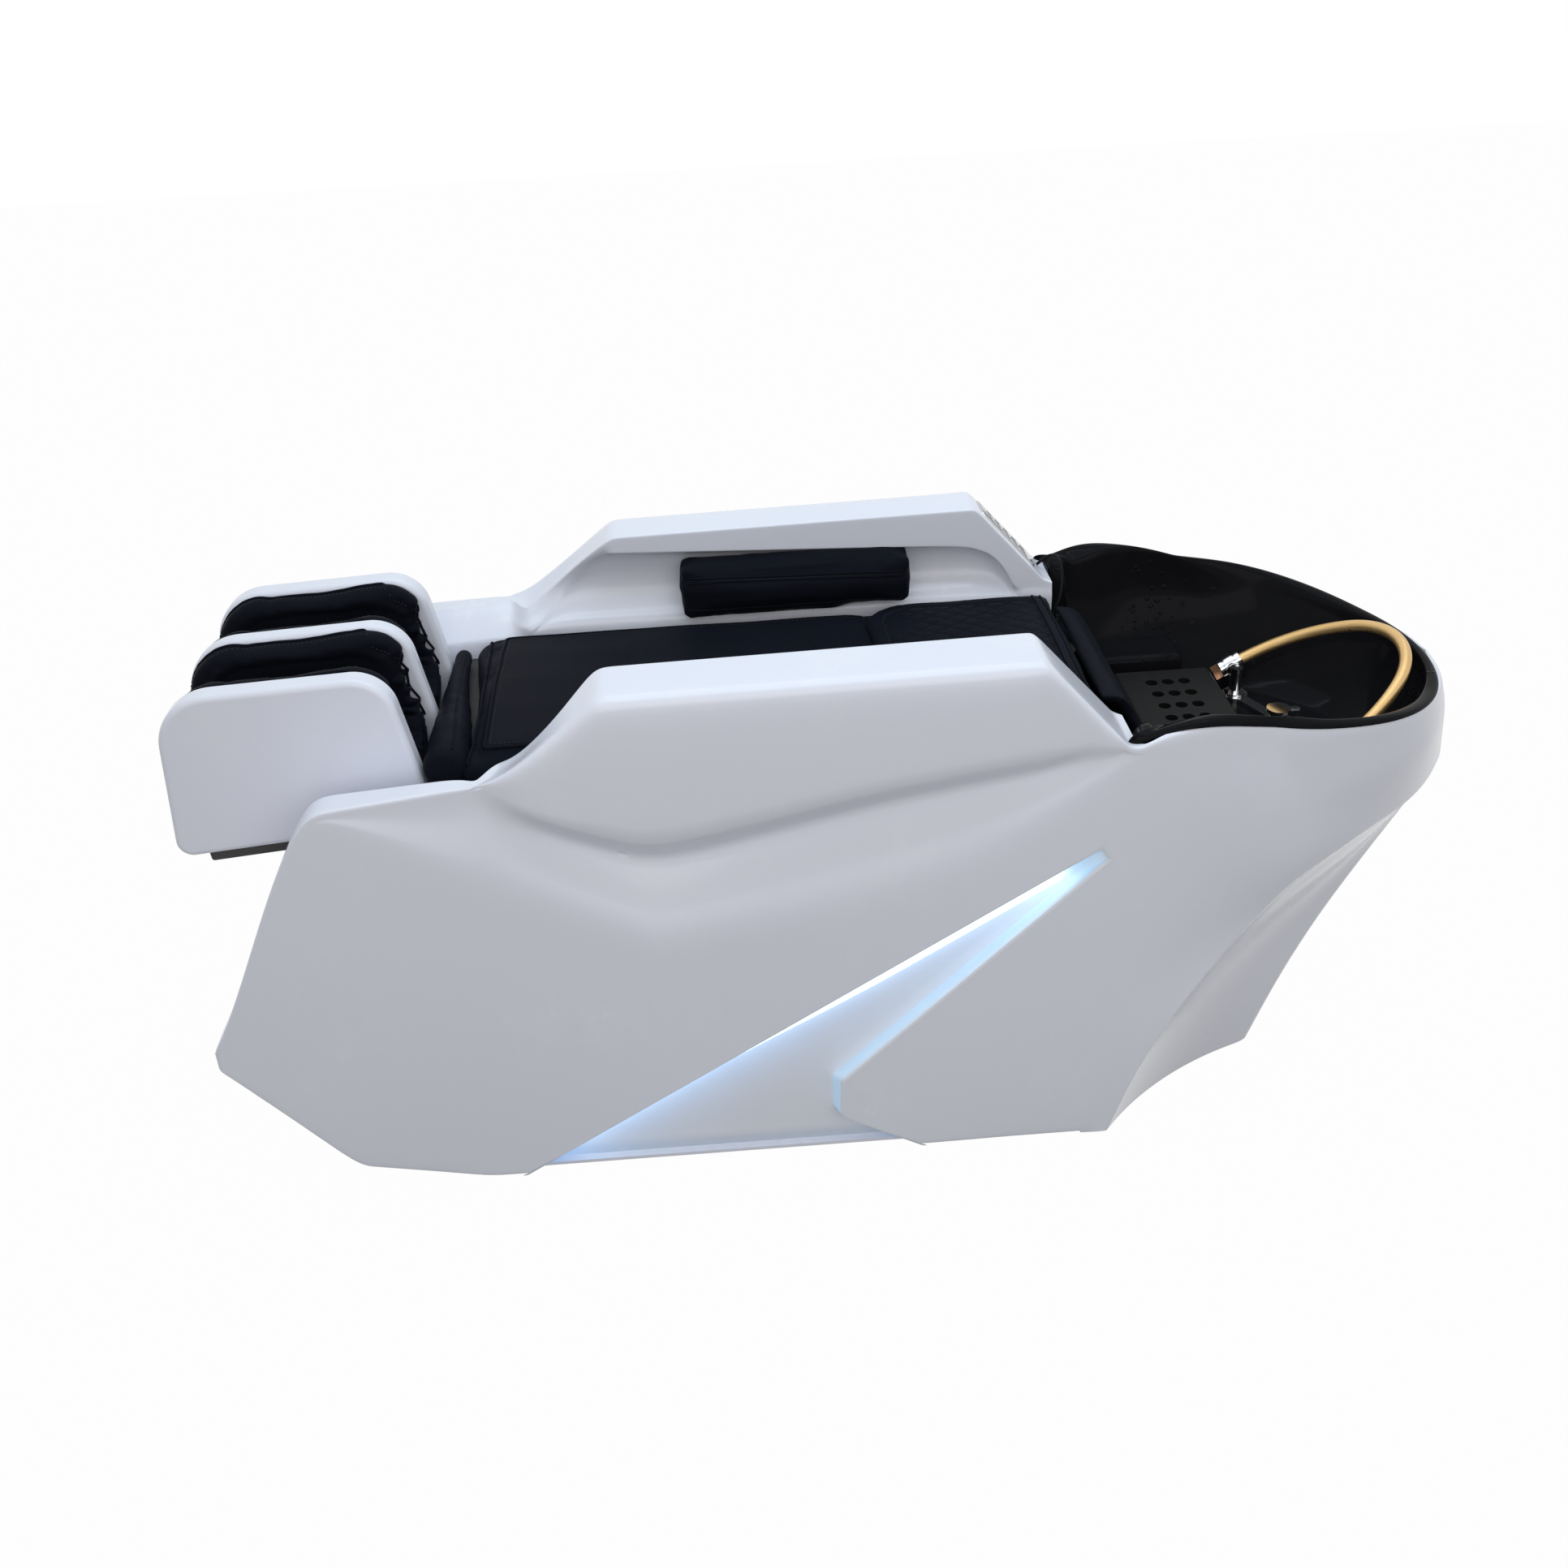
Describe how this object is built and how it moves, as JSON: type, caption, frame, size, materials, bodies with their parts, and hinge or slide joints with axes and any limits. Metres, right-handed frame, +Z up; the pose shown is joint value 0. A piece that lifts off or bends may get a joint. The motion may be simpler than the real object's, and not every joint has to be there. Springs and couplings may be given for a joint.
{
  "type": "head spa unit",
  "caption": "Sculpted white lounger for scalp care with a black wash basin, a water arch, padded arm cuffs, a massage bed and a tilting leg rest.",
  "frame": {"origin": "on the floor under the middle of the unit", "axes": "+X to the basin at the head end, +Y to the sitter's right, +Z up"},
  "size_m": [2.0079, 0.71, 0.8479],
  "materials": {
    "white_shell": "smooth white gel coat",
    "black_basin": "deep gloss black",
    "black_leather": "grained synthetic leather",
    "cuff_leather": "soft grained synthetic leather",
    "black_rubber": "satin moulded rubber",
    "frame_paint": "powder coat",
    "bright_steel": "ground",
    "chrome": "polished",
    "gold_tube": "polished gold plate",
    "copper_nut": "polished copper plate",
    "deck_board": "sealed plywood",
    "black_plastic": "fine texture",
    "grey_plastic": "moulded",
    "light_strip": "opal diffuser",
    "panel_glass": "black touch glass",
    "alu": "satin"
  },
  "bodies": {
    "base": {"left_side_shell": "white_shell", "right_side_shell": "white_shell", "control_panel_bezel": "black_plastic", "control_panel_glass": "panel_glass", "left_light_bar": "light_strip", "right_light_bar": "light_strip", "front_apron": "white_shell", "frame_rails": "frame_paint", "frame_posts": "frame_paint", "frame_crossbars": "frame_paint", "foot_pads": "black_rubber", "seat_deck": "deck_board", "seat_cushion": "black_leather", "back_overlay": "black_leather", "front_bolster": "black_leather", "neck_flap": "black_leather", "left_arm_cuff": "cuff_leather", "right_arm_cuff": "cuff_leather", "basin": "black_basin", "drain_flange": "chrome", "drain_hose": "black_rubber", "head_pad": "black_rubber", "arch_posts": "chrome", "tap_bridge": "chrome", "hinge_pin": "bright_steel", "hinge_brackets": "frame_paint", "actuator_motor": "alu", "guide_rods": "bright_steel", "drive_rack": "black_plastic", "service_tray": "frame_paint", "water_tank": "grey_plastic", "tank_lid": "grey_plastic", "circulation_pump": "black_plastic", "water_heater": "bright_steel", "water_filter": "grey_plastic", "control_box": "black_plastic", "power_inlet": "black_plastic", "water_inlets": "chrome", "supply_hose": "black_rubber", "panel_lead": "black_rubber", "lead_gland": "black_plastic"},
    "leg_rest": {"leg_left_wall": "white_shell", "leg_middle_wall": "white_shell", "leg_right_wall": "white_shell", "leg_left_pad": "black_leather", "leg_right_pad": "black_leather", "leg_base_plate": "black_plastic", "leg_hinge_arms": "bright_steel", "leg_crank": "bright_steel"},
    "actuator": {"actuator_rod": "bright_steel"},
    "arch": {"water_arch": "gold_tube", "arch_sleeves": "chrome", "arch_end_nuts": "copper_nut"},
    "tap": {"tap_knob": "chrome"},
    "strainer": {"hair_strainer": "bright_steel"},
    "carriage": {"massage_carriage": "alu", "massage_motor": "black_plastic"},
    "left_roller": {"left_massage_roller": "black_rubber"},
    "right_roller": {"right_massage_roller": "black_rubber"}
  },
  "joints": [
    {"name": "leg_rest_tilt", "type": "hinge", "parent": "base", "child": "leg_rest", "pos_m": [-0.6, 0, 0.576], "axis": [0, -1, 0], "range_deg": [0, 80]},
    {"name": "actuator_slide", "type": "slide", "parent": "base", "child": "actuator", "axis": [1, 0, 0], "range_m": [0, 0.0708]},
    {"name": "arch_tilt", "type": "hinge", "parent": "base", "child": "arch", "pos_m": [0.702, 0, 0.559], "axis": [0, -1, 0], "range_deg": [-8, 30]},
    {"name": "tap_turn", "type": "hinge", "parent": "base", "child": "tap", "pos_m": [0.745, 0.05, 0.53], "axis": [0, 0, 1], "range_deg": [0, 90]},
    {"name": "strainer_lift", "type": "slide", "parent": "base", "child": "strainer", "axis": [0, 0, 1], "range_m": [0, 0.04]},
    {"name": "carriage_travel", "type": "slide", "parent": "base", "child": "carriage", "axis": [1, 0, 0], "range_m": [0, 0.36]},
    {"name": "left_roller_spin", "type": "hinge", "parent": "carriage", "child": "left_roller", "pos_m": [-0.202, -0.045, 0.6], "axis": [0, 1, 0], "continuous": true},
    {"name": "right_roller_spin", "type": "hinge", "parent": "carriage", "child": "right_roller", "pos_m": [-0.202, 0.045, 0.6], "axis": [0, 1, 0], "continuous": true}
  ],
  "couplings": [
    {"joint": "actuator_slide", "follows": "leg_rest_tilt", "m_per_rad": 0.05064}
  ]
}
